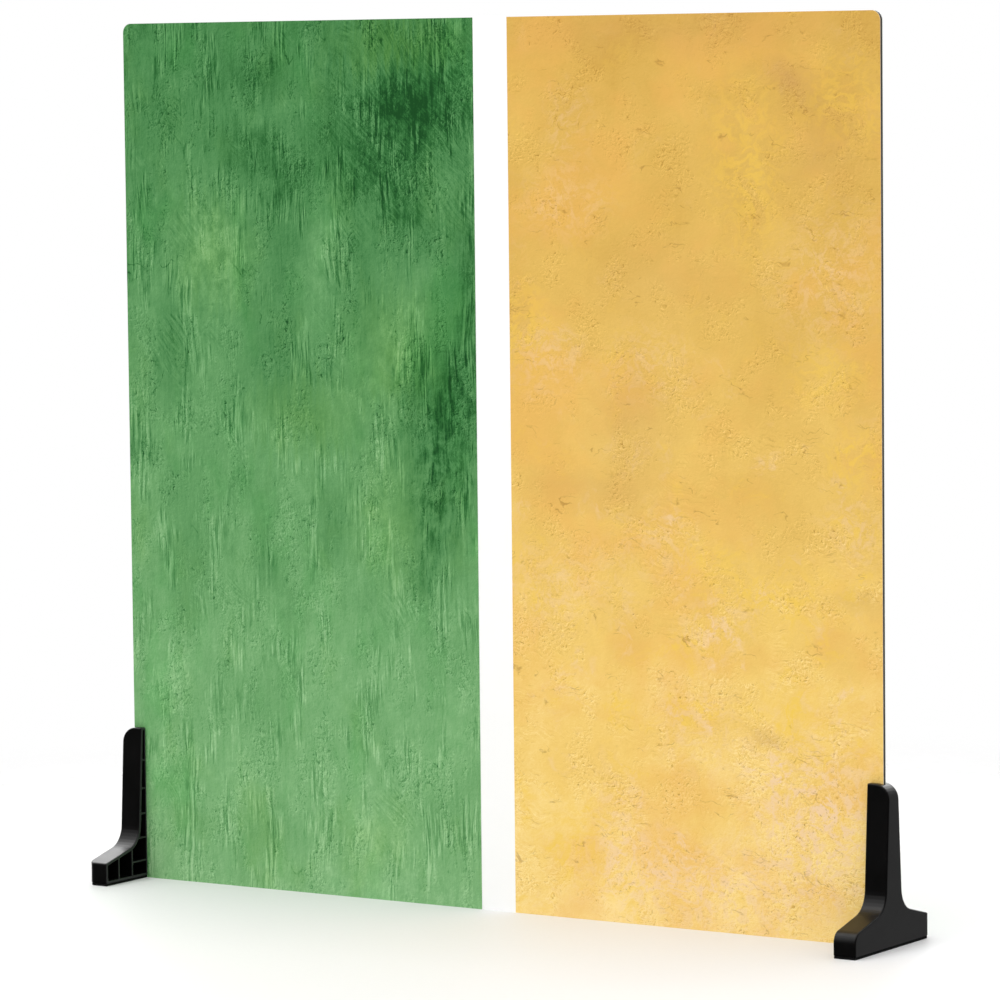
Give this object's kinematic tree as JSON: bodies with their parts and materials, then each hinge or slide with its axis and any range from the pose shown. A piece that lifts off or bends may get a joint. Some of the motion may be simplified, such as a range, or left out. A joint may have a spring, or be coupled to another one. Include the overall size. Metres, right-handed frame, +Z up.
{
  "type": "double-sided photo backdrop board on stands",
  "caption": "Square rigid photo backdrop board, plaster-look green and yellow films on white skins over a black core, upright in slotted push-on plastic stands.",
  "frame": {"origin": "on the surface the board and its stands rest on, half-way along the board and in the middle of its thickness", "axes": "+X along the board's width to the right stand, -Y out of the front face, +Z up"},
  "size_m": [0.6234, 0.105, 0.6096],
  "materials": {
    "core_plastic": "routed edge of a black polyethylene core",
    "white_lacquer": "satin white coil-coated aluminium",
    "green_film": "matt film printed with green trowelled plaster",
    "yellow_film": "matt film printed with yellow trowelled plaster",
    "stand_plastic": "satin black moulded",
    "pad_rubber": "matt black anti-slip pad"
  },
  "bodies": {
    "board": {"board_core": "core_plastic", "front_skin": "white_lacquer", "rear_skin": "white_lacquer", "front_film_green": "green_film", "front_film_yellow": "yellow_film", "rear_film_green": "green_film", "rear_film_yellow": "yellow_film"},
    "left_stand_body": {"left_stand": "stand_plastic", "left_stand_pad": "pad_rubber"},
    "right_stand_body": {"right_stand": "stand_plastic", "right_stand_pad": "pad_rubber"}
  },
  "joints": [
    {"name": "left_stand_pull_off", "type": "slide", "parent": "board", "child": "left_stand_body", "axis": [-1, 0, 0], "range_m": [0, 0.0126]},
    {"name": "right_stand_pull_off", "type": "slide", "parent": "board", "child": "right_stand_body", "axis": [1, 0, 0], "range_m": [0, 0.0126]}
  ]
}
